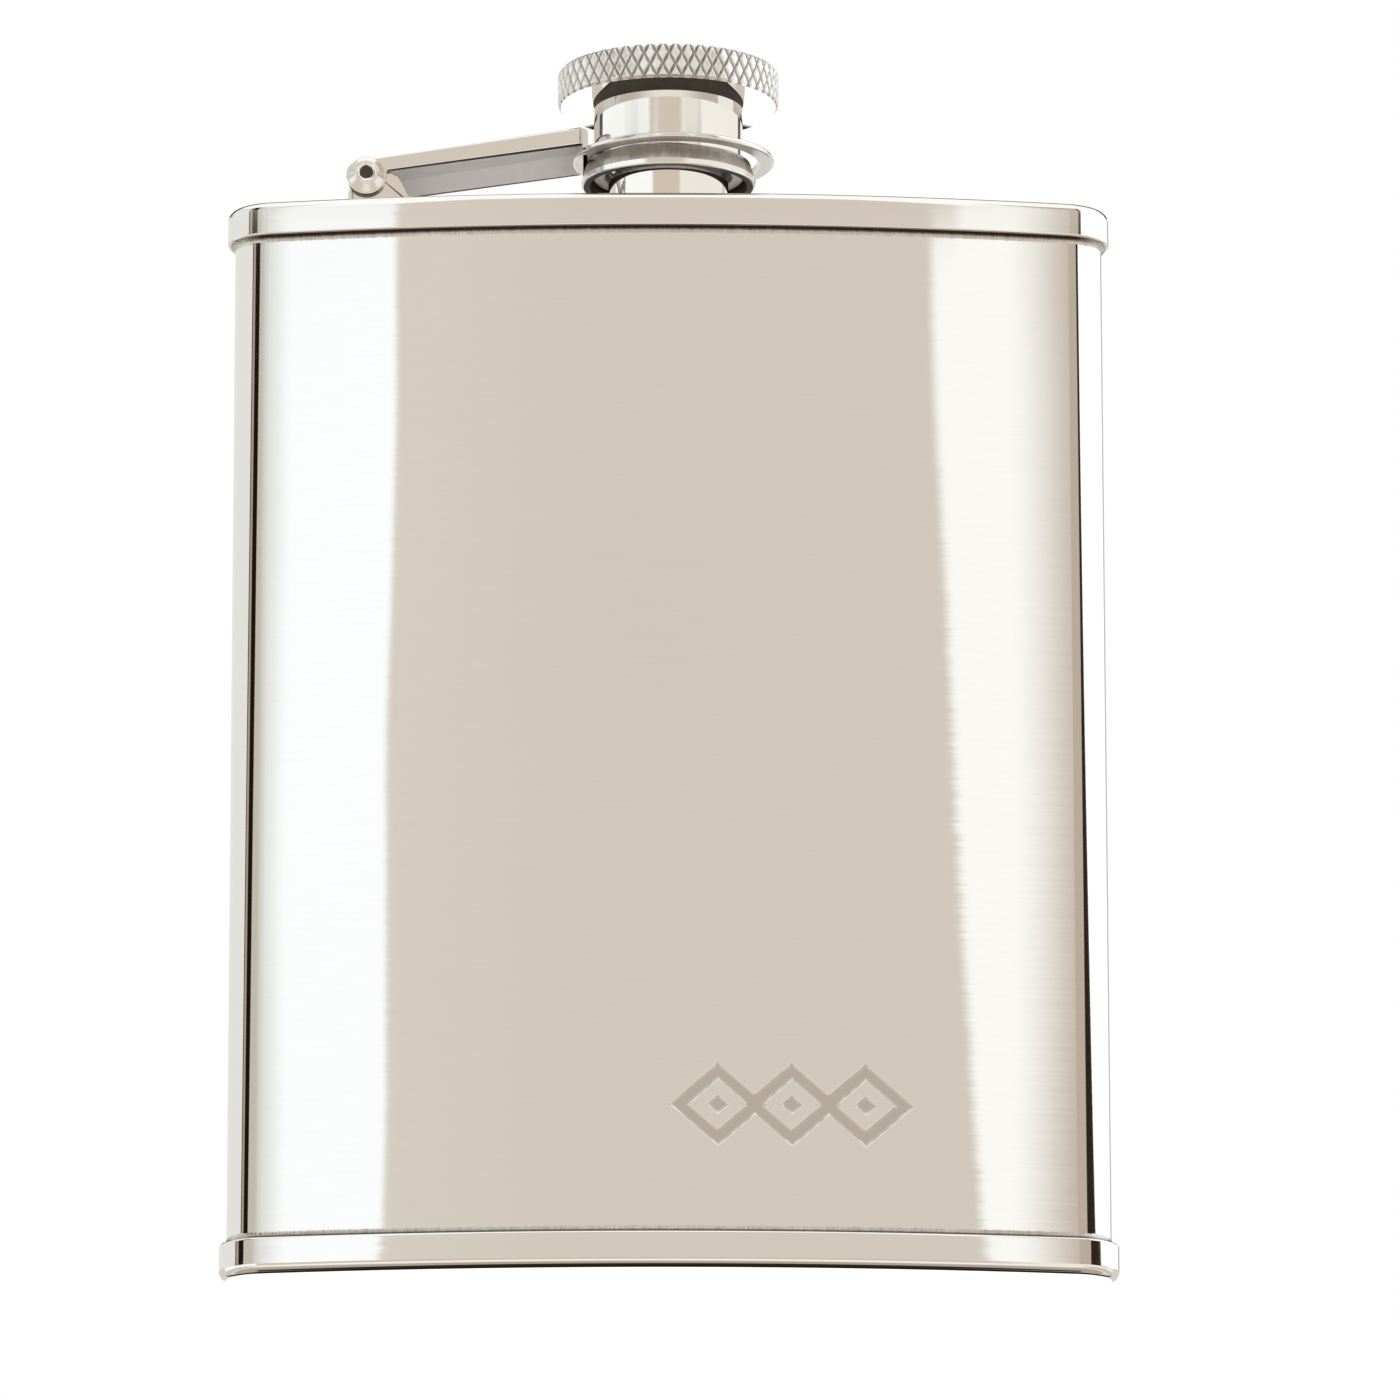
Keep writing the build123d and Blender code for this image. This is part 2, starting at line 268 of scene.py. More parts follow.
def studio_floor():
    """A plain pale floor that can't be seen from below, just under the base."""
    mesh = bpy.data.meshes.new("floor")
    half, drop = 1.5, -0.00002
    corners = [(-half, -half, drop), (half, -half, drop), (half, half, drop), (-half, half, drop)]
    mesh.from_pydata(corners, [], [(0, 1, 2, 3)])
    floor = bpy.data.objects.new("floor", mesh)
    bpy.context.scene.collection.objects.link(floor)
    mat, t = new_material("floor_pale")
    paint = node(t, "ShaderNodeBsdfDiffuse", {"Color": (0.86, 0.86, 0.855, 1.0)})
    clear = node(t, "ShaderNodeBsdfTransparent")
    back = node(t, "ShaderNodeNewGeometry").outputs["Backfacing"]
    mix = node(t, "ShaderNodeMixShader", {0: back, 1: paint.outputs[0], 2: clear.outputs[0]})
    node(t, "ShaderNodeOutputMaterial", {"Surface": mix.outputs[0]})
    mesh.materials.append(mat)
    floor.visible_glossy = False


def studio_light():
    """One large soft lamp overhead, for the satin surfaces and the floor's shadow."""
    data = bpy.data.lights.new("overhead", "AREA")
    data.shape = "RECTANGLE"
    data.size, data.size_y = 0.9, 0.7
    data.energy = 9.0
    lamp = bpy.data.objects.new("overhead", data)
    lamp.location = (-0.1, -0.15, 0.85)
    lamp.rotation_euler = (math.radians(-10), math.radians(-7), 0.0)
    lamp.visible_glossy = False
    lamp.visible_camera = False
    bpy.context.scene.collection.objects.link(lamp)


def studio_camera():
    """The photographer's place: a long lens, left of centre, looking up from below the base."""
    left, ahead, below = 7.25, 824.56, 147.31  # mm from the skirt's front
    pitch, yaw, roll = 0.2312, 0.0118, -0.0015
    front = CY - THICK / 2 - PROUD
    place = Vector((-left, front - ahead, -below)) * MM
    level = math.cos(pitch)
    forward = Vector((math.sin(yaw) * level, math.cos(yaw) * level, math.sin(pitch)))
    right = forward.cross(Vector((0, 0, 1))).normalized()
    up = right.cross(forward)
    turn = Matrix((right, up, -forward)).transposed().to_4x4()
    data = bpy.data.cameras.new("camera")
    data.sensor_width = 36.0
    data.lens = 267.0
    data.clip_start, data.clip_end = 0.01, 10.0
    camera = bpy.data.objects.new("camera", data)
    camera.matrix_world = Matrix.Translation(place) @ turn @ Matrix.Rotation(roll, 4, "Z")
    bpy.context.scene.collection.objects.link(camera)
    bpy.context.scene.camera = camera


# ---- materials -----------------------------------------------------------------------------
def vector(t, op, a, b=None, **inputs):
    sockets = {0: a} if b is None else {0: a, 1: b}
    sockets.update(inputs)
    return node(t, "ShaderNodeVectorMath", sockets, operation=op).outputs[0]


def stretched_noise(t, scale, detail=2.0):
    """Noise over the object, finer along the axes with the larger scales (per metre)."""
    place = node(t, "ShaderNodeTexCoord").outputs["Object"]
    fitted = vector(t, "MULTIPLY", place, scale)
    return node(t, "ShaderNodeTexNoise", {"Vector": fitted, "Scale": 1.0, "Detail": detail})


def tilt(t, noise, amount):
    """The noise's colour as a small vector about zero, for leaning a normal."""
    centred = vector(t, "ADD", noise.outputs["Color"], (-0.5, -0.5, -0.5))
    return vector(t, "MULTIPLY", centred, amount)


def combed(t, marks):
    """Keeps brush marks strong low on the right of the front, and faint elsewhere."""
    place = node(t, "ShaderNodeTexCoord").outputs["Object"]
    x, _, z = node(t, "ShaderNodeSeparateXYZ", {0: place}).outputs
    place_share = calc(t, "MULTIPLY", ramp(t, x, 0.006, 0.020), ramp(t, z, 0.085, 0.030))
    strength = calc(t, "ADD", calc(t, "MULTIPLY", place_share, 0.75), 0.25)
    return vector(t, "SCALE", marks, Scale=strength)


def steel(
    name, colour, roughness, wave=(0, 0, 0), wave_scale=(45, 45, 30), streak=(0, 0, 0),
    streak_scale=(90, 90, 2600), grain=0.02, grain_scale=(300, 300, 4200), comb=False, groove=None,
    metal=1.0,
):
    """Bare steel: sheet waviness and brush marks lean the normal, fine grain varies the colour.

    groove is a painted shade colour, laid where a mesh's groove attribute says: in stamped or
    knurled hollows and along the front of weld beads.
    """
    mat, t = new_material(name)
    normal = node(t, "ShaderNodeNewGeometry").outputs["Normal"]
    if any(wave):
        normal = vector(t, "ADD", normal, tilt(t, stretched_noise(t, wave_scale, 1.0), wave))
    if any(streak):
        marks = tilt(t, stretched_noise(t, streak_scale, 3.0), streak)
        normal = vector(t, "ADD", normal, combed(t, marks) if comb else marks)
    normal = vector(t, "NORMALIZE", normal)
    fine = stretched_noise(t, grain_scale, 3.0).outputs["Fac"]
    broad = stretched_noise(t, (35, 35, 25), 2.0).outputs["Fac"]
    fine_part = calc(t, "MULTIPLY", calc(t, "SUBTRACT", fine, 0.5), grain)
    broad_part = calc(t, "MULTIPLY", calc(t, "SUBTRACT", broad, 0.5), grain * 0.8)
    shade = calc(t, "ADD", calc(t, "ADD", fine_part, broad_part), 1.0)
    paint = vector(t, "SCALE", colour, Scale=shade)
    # Painted shade: the groove attribute blends the groove colour in.
    if groove:
        depth = node(t, "ShaderNodeAttribute", attribute_name="groove").outputs["Fac"]
        paint = blend(t, depth, paint, groove)
    shader = node(t, "ShaderNodeBsdfPrincipled", {
        "Base Color": paint, "Metallic": metal, "Roughness": roughness, "Normal": normal,
    })
    node(t, "ShaderNodeOutputMaterial", {"Surface": shader.outputs[0]})
    return mat


def rubber(name, colour):
    mat, t = new_material(name)
    speck = stretched_noise(t, (1800, 1800, 1800), 3.0).outputs["Fac"]
    darker = tuple(c * 0.85 for c in colour)
    lighter = tuple(min(1.0, c * 1.12) for c in colour)
    bump = node(t, "ShaderNodeBump", {"Strength": 0.25, "Distance": 0.0001, "Height": speck})
    shader = node(t, "ShaderNodeBsdfPrincipled", {
        "Base Color": blend(t, speck, darker, lighter), "Roughness": 0.62,
        "Normal": bump.outputs[0],
    })
    node(t, "ShaderNodeOutputMaterial", {"Surface": shader.outputs[0]})
    return mat


# ---- shapes --------------------------------------------------------------------------------
class Shape:
    """Points, their normals and faces, gathered patch by patch, in mm."""

    def __init__(self):
        self.points, self.normals, self.faces, self.mats, self.depths = [], [], [], [], []

    def put(self, point, depth=0.0):
        self.points.append(point[:3])
        self.normals.append(point[3:6])
        self.depths.append(depth)

    def face(self, corners, mat):
        """Adds a face, turned so that it faces the way its normals do."""
        p = [Vector(self.points[c]) for c in corners]
        across = (p[2] - p[0]).cross(p[-1] - p[1])
        if across.length < 1e-9:
            return
        facing = sum((Vector(self.normals[c]) for c in corners), Vector())
        self.add_face(corners, across.dot(facing) >= 0, mat)

    def add_face(self, corners, outward, mat):
        self.faces.append(tuple(corners) if outward else tuple(reversed(corners)))
        self.mats.append(mat)

    def grid(self, rows, closed=True, mat=0, depths=None):
        """Rows of points (x, y, z, nx, ny, nz), joined into a sheet, or into a tube when closed."""
        start, n = len(self.points), len(rows[0])
        for i, row in enumerate(rows):
            for j, point in enumerate(row):
                self.put(point, depths[i][j] if depths else 0.0)
        for i in range(len(rows) - 1):
            for j in range(n if closed else n - 1):
                k, a = (j + 1) % n, start + i * n
                self.face((a + j, a + k, a + n + k, a + n + j), mat)

    def cap(self, ring, normal, mat=0):
        """A flat face round a ring of points."""
        start = len(self.points)
        for point in ring:
            self.put((*point[:3], *normal))
        p = [Vector(q[:3]) for q in ring]
        area = sum((a.cross(b) for a, b in zip(p, p[1:] + p[:1])), Vector())
        corners = range(start, start + len(ring))
        self.add_face(corners, area.dot(Vector(normal)) >= 0, mat)

    def make(self, name, body, slot, mats, *nodes):
        """The mesh as a piece on its body, in place of the CAD nodes named."""
        mesh = bpy.data.meshes.new(name)
        mesh.from_pydata([Vector(p) * MM for p in self.points], [], self.faces)
        mesh.polygons.foreach_set("material_index", self.mats)
        mesh.polygons.foreach_set("use_smooth", [True] * len(self.faces))
        if any(self.depths):
            mesh.attributes.new("groove", "FLOAT", "POINT").data.foreach_set("value", self.depths)
        mesh.normals_split_custom_set_from_vertices([Vector(n).normalized() for n in self.normals])
        for mat in mats:
            mesh.materials.append(mat)
        piece = bpy.data.objects.new(name, mesh)
        bpy.context.scene.collection.objects.link(piece)
        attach(piece, body)
        if nodes:
            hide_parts(*nodes)
        return piece


def spread(a, b, n):
    """n + 1 numbers evenly from a to b."""
    return [a + (b - a) * i / n for i in range(n + 1)]


def arc(centre_r, centre_z, radius, start, end, n):
    """Profile points (r, z, nr, nz) along an arc, angles in degrees from outward to up."""
    points = []
    for a in spread(math.radians(start), math.radians(end), n):
        c, s = math.cos(a), math.sin(a)
        points.append((centre_r + radius * c, centre_z + radius * s, c, s))
    return points


def line(r0, z0, r1, z1, n=1):
    """Profile points along a straight run, with the normal on its right-hand side."""
    length = math.hypot(r1 - r0, z1 - z0)
    nr, nz = (z1 - z0) / length, -(r1 - r0) / length
    return [(r0 + (r1 - r0) * i / n, z0 + (z1 - z0) * i / n, nr, nz) for i in range(n + 1)]


def circle(cx, cy, n):
    """A round outline of radius 0, to be offset by a profile's radius."""
    turns = [2 * math.pi * j / n for j in range(n)]
    return [(cx, cy, math.cos(a), math.sin(a)) for a in turns]


def sweep(outline, profile):
    """A profile carried round an outline: rows of points with their normals."""
    return [
        [(x + nx * r, y + ny * r, z, nx * nr, ny * nr, nz) for x, y, nx, ny in outline]
        for r, z, nr, nz in profile
    ]


def turn_of(cx, cy, radius, a):
    """A point at angle a from the front, on a circle, with its outward normal."""
    s, c = math.sin(a), math.cos(a)
    return (cx + radius * s, cy - radius * c, s, -c)


def flask_outline(front_xs):
    """The sleeve's plan outline, anticlockwise from the front's left end."""
    reach = sleeve_hi.x - FRONT_CORNER
    turn = FRONT_R - FRONT_CORNER
    a1 = math.asin(reach / turn)
    half = a1 + math.asin(FRONT_CORNER / turn)
    back = half - math.asin(BACK_CORNER / (BACK_R + BACK_CORNER))
    front = [turn_of(0, CURVE_Y, FRONT_R, math.asin(x / FRONT_R)) for x in front_xs]
    cx, cy = turn * math.sin(a1), CURVE_Y - turn * math.cos(a1)
    corner = [turn_of(cx, cy, FRONT_CORNER, a) for a in spread(a1, math.pi / 2 + half, 56)]
    bx = (BACK_R + BACK_CORNER) * math.sin(back)
    by = CURVE_Y - (BACK_R + BACK_CORNER) * math.cos(back)
    back_angles = spread(math.pi / 2 + half, math.pi + back, 56)
    behind = [turn_of(bx, by, BACK_CORNER, a) for a in back_angles]
    hollow = []
    for a in spread(back, -back, 96)[1:-1]:
        s, c = math.sin(a), math.cos(a)
        hollow.append((BACK_R * s, CURVE_Y - BACK_R * c, -s, c))
    right = corner[1:] + behind
    left = [(-x, y, -nx, ny) for x, y, nx, ny in reversed(right)]
    return front + right + hollow + left


FRONT_END = FRONT_R * (sleeve_hi.x - FRONT_CORNER) / (FRONT_R - FRONT_CORNER)
plain_outline = flask_outline(spread(-FRONT_END, FRONT_END, 132))

# A stamped chain of three lozenges, low on the front.
STAMP = 0.17  # depth
STAMP_CENTRES = (3.9, 9.9, 15.9)
STAMP_Z = 13.4
LOZENGE_X, LOZENGE_Z = 3.9, 3.4  # half diagonals


def stamp_depth(x, z):
    """Depth of the stamped chain of lozenges at a place on the front."""
    edge = -1.0
    for centre in STAMP_CENTRES:
        reach = abs(x - centre) / LOZENGE_X + abs(z - STAMP_Z) / LOZENGE_Z
        outline, dot = min(1.0 - reach, reach - 0.62), 0.22 - reach
        edge = max(edge, outline, dot)
    f = min(1.0, max(0.0, edge * 13.0 + 0.3))
    return STAMP * f * f * (3.0 - 2.0 * f)


def sleeve_piece():
    """The bent sleeve, with a fine mesh where its front is stamped."""
    shape = Shape()
    left, right = STAMP_CENTRES[0] - LOZENGE_X - 0.4, STAMP_CENTRES[-1] + LOZENGE_X + 0.4
    xs = spread(-FRONT_END, left, 72) + spread(left, right, 206)[1:]
    xs += spread(right, FRONT_END, 28)[1:]
    outline = flask_outline(xs)
    low, high = STAMP_Z - LOZENGE_Z - 0.4, STAMP_Z + LOZENGE_Z + 0.4
    zs = spread(sleeve_lo.z, low, 6) + spread(low, high, 76)[1:]
    zs += spread(high, sleeve_hi.z, 24)[1:]
    rows, depths, step = [], [], 0.03
    for z in zs:
        row, sunk = [], []
        for j, (x, y, nx, ny) in enumerate(outline):
            if j < len(xs) and left < x < right and low < z < high:
                d = stamp_depth(x, z)
                across = (stamp_depth(x + step, z) - stamp_depth(x - step, z)) / (2 * step)
                along = (stamp_depth(x, z + step) - stamp_depth(x, z - step)) / (2 * step)
                n = Vector((nx - ny * across, ny + nx * across, along))
                row.append((x - nx * d, y - ny * d, z, *n.normalized()))
                # The stamp's depth also marks where painted shade goes.
                sunk.append(d / STAMP)
            else:
                row.append((x, y, z, nx, ny, 0.0))
                sunk.append(0.0)
        rows.append(row)
        depths.append(sunk)
    shape.grid(rows, depths=depths)
    skin = -SLEEVE_SHEET
    inner = [(skin, sleeve_hi.z, -1.0, 0.0), (skin, sleeve_lo.z, -1.0, 0.0)]
    shape.grid(sweep(plain_outline, inner))
    for z, up in ((sleeve_lo.z, -1.0), (sleeve_hi.z, 1.0)):
        shape.grid(sweep(plain_outline, [(0.0, z, 0.0, up), (skin, z, 0.0, up)]))
    shape.make("sleeve", "flask", "polished_steel", [polished_front], "body_sleeve")


def pan_pieces():
    """The two drawn end pans: a skirt proud of the sleeve, rounded into a flat plate."""
    edge, lip = PAN_EDGE, PAN_LIP
    pans = (("pan_bottom", "bottom_pan", base_lo.z, -1), ("pan_top", "top_pan", PLATE, 1))
    for name, cad_node, plate, up in pans:
        shape = Shape()
        foot = plate - up * SKIRT
        profile = [(0.0, foot, 0.0, -up)]
        profile += arc(PROUD - lip, foot + up * lip, lip, -90 * up, 0, 6)
        profile += arc(PROUD - edge, plate - up * edge, edge, 0, 90 * up, 16)
        rows = sweep(plain_outline, profile)
        shape.grid(rows)
        rim = rows[-1]
        # The plate runs in to the neck's hole, or on the base to a small cap in the middle.
        centre, hole = ((CX, CY), NECK_R) if up > 0 else ((0.0, CY), 0.4)
        rings = [rim]
        for share in (0.5, 1.0):
            ring = []
            for x, y, z, *_ in rim:
                a = math.atan2(y - centre[1], x - centre[0])
                ring.append((
                    x + (centre[0] + hole * math.cos(a) - x) * share,
                    y + (centre[1] + hole * math.sin(a) - y) * share,
                    plate, 0.0, 0.0, up,
                ))
            rings.append(ring)
        shape.grid(rings)
        if up < 0:
            shape.cap(rings[-1], (0.0, 0.0, -1.0))
        inside = sweep(plain_outline, [(-SLEEVE_SHEET, plate - up * PAN_SHEET, 0.0, -up)])[0]
        shape.cap(inside, (0.0, 0.0, -up), 1)
        shape.make(name, "flask", "polished_steel", [polished_plain, inner_steel], cad_node)


RIPPLES = 20.9  # radians of a weld bead's ripple for each mm of its run


def ripple(s, seed):
    """Uneven stacked ripples of a weld bead along its run s, about zero."""
    wander = math.sin(s * 0.83 + seed) + 0.6 * math.sin(s * 2.17 + 1.3 * seed)
    return math.sin(s * RIPPLES + 1.6 * wander)


def bead(name, outline, profile, cad_node, seed):
    """A weld bead along an outline: its profile, rippled along the run, with a ragged edge and
    painted shade along its front.
    """
    shape = Shape()
    run, along = 0.0, []
    for here, there in zip(outline, outline[1:] + outline[:1]):
        along.append((run, here))
        run += math.hypot(there[0] - here[0], there[1] - here[1])
    toward_edge = -1.0 if profile[-1][1] > profile[0][1] else 1.0
    rows, front_shade = [], []
    for i, (r, z, nr, nz) in enumerate(profile):
        row, shade_row = [], []
        share = i / (len(profile) - 1)
        middle = math.sin(math.pi * share)
        for s, (x, y, nx, ny) in along:
            out = r + 0.02 * middle * ripple(s + 0.12 * math.cos(3.1 * i), seed)
            ragged = 0.05 * (1.0 - share) * math.sin(s * 5.3 + 2.0 * math.sin(s * 1.7 + seed))
            lean = 0.45 * middle * math.cos(s * RIPPLES + seed)
            n = Vector((nx * nr - ny * lean, ny * nr + nx * lean, nz)).normalized()
            row.append((x + nx * out, y + ny * out, z - toward_edge * abs(ragged), *n))
            # Painted shade along the front, away from the bead's free edge.
            facing = min(1.0, max(0.0, -ny * 3.0 - 1.8))
            shade_row.append(max(0.001, min(1.0, 2.4 * share - 0.25)) * facing)
        rows.append(row)
        front_shade.append(shade_row)
    shape.grid(rows, depths=front_shade)
    shape.make(name, "flask", "weld", [weld_steel], cad_node)


def fillet(r0, z0, width, height, n=8):
    """Hollow quarter profile from a wall at (r0, z0) out to r0 + width, at a height away."""
    points = []
    for t in spread(0.0, math.pi / 2, n):
        nr, nz = math.cos(t) / width, -math.sin(t) / height
        size = math.hypot(nr, nz)
        r, z = r0 + width - width * math.cos(t), z0 + height * math.sin(t)
        points.append((r, z, nr / size, nz / size))
    return points


def weld_pieces():
    dense = flask_outline(spread(-FRONT_END, FRONT_END, 900))
    high, wide = BEAD_HEIGHT, BEAD_WIDTH
    top = fillet(0.0, PLATE - SKIRT - high, wide, high)
    bottom = fillet(0.0, base_hi.z + high, wide, -high)
    neck = fillet(NECK_R, PLATE + NECK_WELD, NECK_WELD, -NECK_WELD)
    bead("seam_top", dense, top, "top_seam_weld", 0.4)
    bead("seam_bottom", dense, bottom, "bottom_seam_weld", 2.1)
    bead("seam_neck", circle(CX, CY, 300), neck, "neck_weld", 1.2)


def neck_piece():
    """The neck, from its flange inside the top pan to the thread that the cap hides."""
    shape = Shape()
    ring = circle(CX, CY, 144)
    low, flange, plain, top = neck_lo.z, neck_lo.z + 0.5, PLAIN_NECK_TOP, neck_hi.z
    ease, lip = 0.05, 0.12
    # The plain wall is shaded as if it leaned outwards, so that it mirrors the light below.
    lean = (0.985, -0.174)
    for run in (
        line(NECK_BORE, low, NECK_FLANGE, low),
        line(NECK_FLANGE, low, NECK_FLANGE, flange),
        line(NECK_FLANGE, flange, NECK_R, flange),
        [(NECK_R, flange, *lean), (NECK_R, plain - ease, *lean)],
        arc(NECK_R - ease, plain - ease, ease, 0, 90, 4),
        line(NECK_R - ease, plain, NECK_CORE, plain),
        line(NECK_CORE, plain, NECK_CORE, top - lip),
        arc(NECK_CORE - lip, top - lip, lip, 0, 90, 6),
        line(NECK_CORE - lip, top, NECK_BORE + lip, top),
        arc(NECK_BORE + lip, top - lip, lip, 90, 180, 6),
        line(NECK_BORE, top - lip, NECK_BORE, low, 2),
    ):
        shape.grid(sweep(ring, run))
    thread(shape, NECK_CORE, NECK_R, 93.35, 1.7, 1)
    shape.make("neck", "flask", "polished_steel", [polished_neck], "neck_spout")


def thread(shape, root, crest, start_z, turns, side, mat=0):
    """A right-handed ridge, from root radius to crest radius, that fades in and out.

    side is 1 for a ridge on a shaft and -1 for one in a bore.
    """
    steps = int(turns * 72)
    rows = []
    for i in range(steps + 1):
        a = 2 * math.pi * turns * i / steps
        fade = min(1.0, i / 6.0, (steps - i) / 6.0)
        high = root + (crest - root) * max(0.05, fade)
        z = start_z + THREAD_PITCH * a / (2 * math.pi)
        c, s = math.cos(a), math.sin(a)
        row = []
        for r, dz, nr, nz in (
            (root, -0.23, 0.45, -0.9), (high, -0.1, 0.45, -0.9), (high, -0.1, 1.0, 0.0),
            (high, 0.1, 1.0, 0.0), (high, 0.1, 0.45, 0.9), (root, 0.23, 0.45, 0.9),
        ):
            row.append((CX + r * c, CY + r * s, z + dz, side * nr * c, side * nr * s, nz))
        rows.append(row)
    shape.grid(rows, closed=False, mat=mat)


def rounded(corners, steps=5):
    """A closed outline (u, v, nu, nv) from corners (u, v, radius), anticlockwise, all eased."""
    points = []
    for i, (u, v, r) in enumerate(corners):
        before, after = Vector(corners[i - 1][:2]), Vector(corners[(i + 1) % len(corners)][:2])
        here = Vector((u, v))
        into, out = (here - before).normalized(), (after - here).normalized()
        bend = math.atan2(into.x * out.y - into.y * out.x, into.dot(out))
        side = 1.0 if bend > 0 else -1.0
        start = here - into * (r * math.tan(abs(bend) / 2))
        n0 = Vector((into.y, -into.x))
        centre = start - n0 * (r * side)
        for k in range(steps + 1):
            c, s = math.cos(bend * k / steps), math.sin(bend * k / steps)
            n = Vector((n0.x * c - n0.y * s, n0.x * s + n0.y * c))
            p = centre + n * (r * side)
            points.append((p.x, p.y, n.x, n.y))
    return points


def extrude(shape, outline, lo, hi, bevel, mats=(0, 0, 0)):
    """A sheet lying across Y from lo to hi, outlined in X and Z, with rounded edges.

    bevel is the edge radius on the lo face, as one number or one for each point of the outline.
    mats are for the lo face, the edge and the hi face.
    """
    bevels = bevel if isinstance(bevel, list) else [bevel] * len(outline)
    back_bevel = 0.06
    rows = []
    for angle in range(-90, 1, 15):
        c, s = math.cos(math.radians(angle)), math.sin(math.radians(angle))
        row = []
        for (u, v, nu, nv), b in zip(outline, bevels):
            off, w = -b + b * c, lo + b + b * s
            row.append((u + nu * off, w, v + nv * off, nu * c, s, nv * c))
        rows.append(row)
    for angle in range(0, 91, 30):
        c, s = math.cos(math.radians(angle)), math.sin(math.radians(angle))
        off, w = -back_bevel + back_bevel * c, hi - back_bevel + back_bevel * s
        rows.append([
            (u + nu * off, w, v + nv * off, nu * c, s, nv * c) for u, v, nu, nv in outline
        ])
    shape.grid(rows, mat=mats[1])
    shape.cap(rows[0], (0.0, -1.0, 0.0), mats[0])
    shape.cap(rows[-1], (0.0, 1.0, 0.0), mats[2])


def bracket_piece():
    """The hinge bracket: a foot on the top plate and two ears round the pin."""
    shape = Shape()
    floor_z = bracket_lo.z
    half, sheet, eye = 2.85, 0.6, 1.55
    ear = rounded([
        (PIN_X - 1.1, floor_z + 0.1, 0.05), (PIN_X + 4.0, floor_z + 0.1, 0.05),
        (PIN_X + 2.6, PIN_Z, 0.5), (PIN_X, PIN_Z, 0.0),
    ])[:18]  # without the last corner, where the round eye takes over
    for a in spread(math.radians(52), math.radians(184), 20):
        c, s = math.cos(a), math.sin(a)
        ear.append((PIN_X + eye * c, PIN_Z + eye * s, c, s))
    for low in (CY - half, CY + half - sheet):
        extrude(shape, ear, low, low + sheet, 0.13)
    foot = rounded([
        (bracket_lo.x, floor_z, 0.05), (bracket_hi.x, floor_z, 0.05),
        (bracket_hi.x, floor_z + sheet, 0.15), (bracket_lo.x, floor_z + sheet, 0.25),
    ])
    extrude(shape, foot, CY - half, CY + half, 0.08)
    shape.make("bracket", "flask", "polished_steel", [polished_arm], "hinge_bracket")


def across_y(profile, side, cz=PIN_Z, swell=None):
    """Rows of points round the pin's axis, from a profile (r, w, nr, nw) with w out along Y."""
    rows = []
    for r, w, nr, nw in profile:
        row = []
        for j in range(72):
            a = 2 * math.pi * j / 72
            c, s = math.cos(a), math.sin(a)
            out = r * swell(a, r, w) if swell else r
            row.append((PIN_X + out * c, CY + side * w, cz + out * s, nr * c, side * nw, nr * s))
        rows.append(row)
    return rows


def pin_piece():
    """A tubular rivet, its ends flared unevenly over the arm."""
    shape = Shape()
    end = (pin_hi.y - pin_lo.y) / 2
    neck = end - 0.25

    def swell(a, r, w):
        """Unevenness of the flare's outer edge."""
        if r <= 0.82 or w >= 3.72:
            return 1.0
        return 1.0 + 0.018 * math.sin(3 * a + 0.7) + 0.012 * math.sin(7 * a)

    rim = arc(0.9, end - 0.13, 0.12, -60, 90, 8) + arc(0.86, end - 0.36, 0.36, 90, 165, 12)
    mouth = [(0.51, end - 0.27, -1, 0.1), (0.42, end - 0.4, -1, 0)]
    for side in (-1, 1):
        shape.grid(across_y([(PIN_R, 0.0, 1, 0), (PIN_R, neck, 1, 0)], side))
        shape.grid(across_y([(PIN_R, neck, 0, -1), (1.0, neck, 0, -1)], side, swell=swell))
        shape.grid(across_y(rim, side, swell=swell))
        # The mouth and the disc in it are painted shade in the rivet's hole.
        shape.grid(across_y(mouth, side), mat=1)
        shape.cap(across_y([(0.52, end - 0.245, 0, 1)], side)[0], (0.0, side, 0.0), 1)
    shape.make("pin", "flask", "polished_steel", [rivet_steel, painted_shade_dark], "hinge_pin")


ARM_START, ARM_END = PIN_X + 1.9, CX - 7.15  # of the web along X
ARM_TOP, ARM_SLOPE = 6.9, 2.6  # its top over the plate at the end, and its fall to the start
LOBE_R, LOBE_Z = 1.65, PIN_Z - 0.25


def arm_top(x):
    return PLATE + ARM_TOP + (x - ARM_END) * ARM_SLOPE / (ARM_END - ARM_START)


def arm_bottom(x):
    return arm_top(x) - 1.55 - (x - ARM_END) * 0.35 / (ARM_END - ARM_START)


def side_wall(deeper):
    """Outline of a side wall in X and Z: lobe, notch over the bracket, lower edge, end, top."""
    notch_z = arm_bottom(PIN_X + 1.6) - deeper
    notch_x = PIN_X + math.sqrt(LOBE_R ** 2 - (notch_z - LOBE_Z) ** 2)
    start, stop = 2.65, math.asin((notch_z - 0.3 - LOBE_Z) / LOBE_R)
    wall = []
    for a in spread(start, 2 * math.pi + stop, 44):
        c, s = math.cos(a), math.sin(a)
        wall.append((PIN_X + LOBE_R * c, LOBE_Z + LOBE_R * s, c, s))
    rest = rounded([
        (PIN_X + LOBE_R * math.cos(stop), LOBE_Z + LOBE_R * math.sin(stop), 0.0),
        (notch_x, notch_z, 0.25),
        (ARM_END, arm_bottom(ARM_END) - deeper, 0.15),
        (ARM_END, arm_top(ARM_END), 0.2),
        (PIN_X - 1.19, arm_top(PIN_X - 1.19), 0.8),
        (PIN_X + LOBE_R * math.cos(start), LOBE_Z + LOBE_R * math.sin(start), 0.0),
    ], 6)
    return wall + rest[7:35]  # the rounded corners between the two ends of the lobe


def mirror_across_y(shape, other):
    """Adds another shape, turned over across the arm's middle plane."""
    start = len(shape.points)
    shape.points += [(x, CY + ARM_HALF - y, z) for x, y, z in other.points]
    shape.normals += [(nx, -ny, nz) for nx, ny, nz in other.normals]
    shape.depths += other.depths
    shape.faces += [tuple(start + i for i in reversed(face)) for face in other.faces]
    shape.mats += other.mats


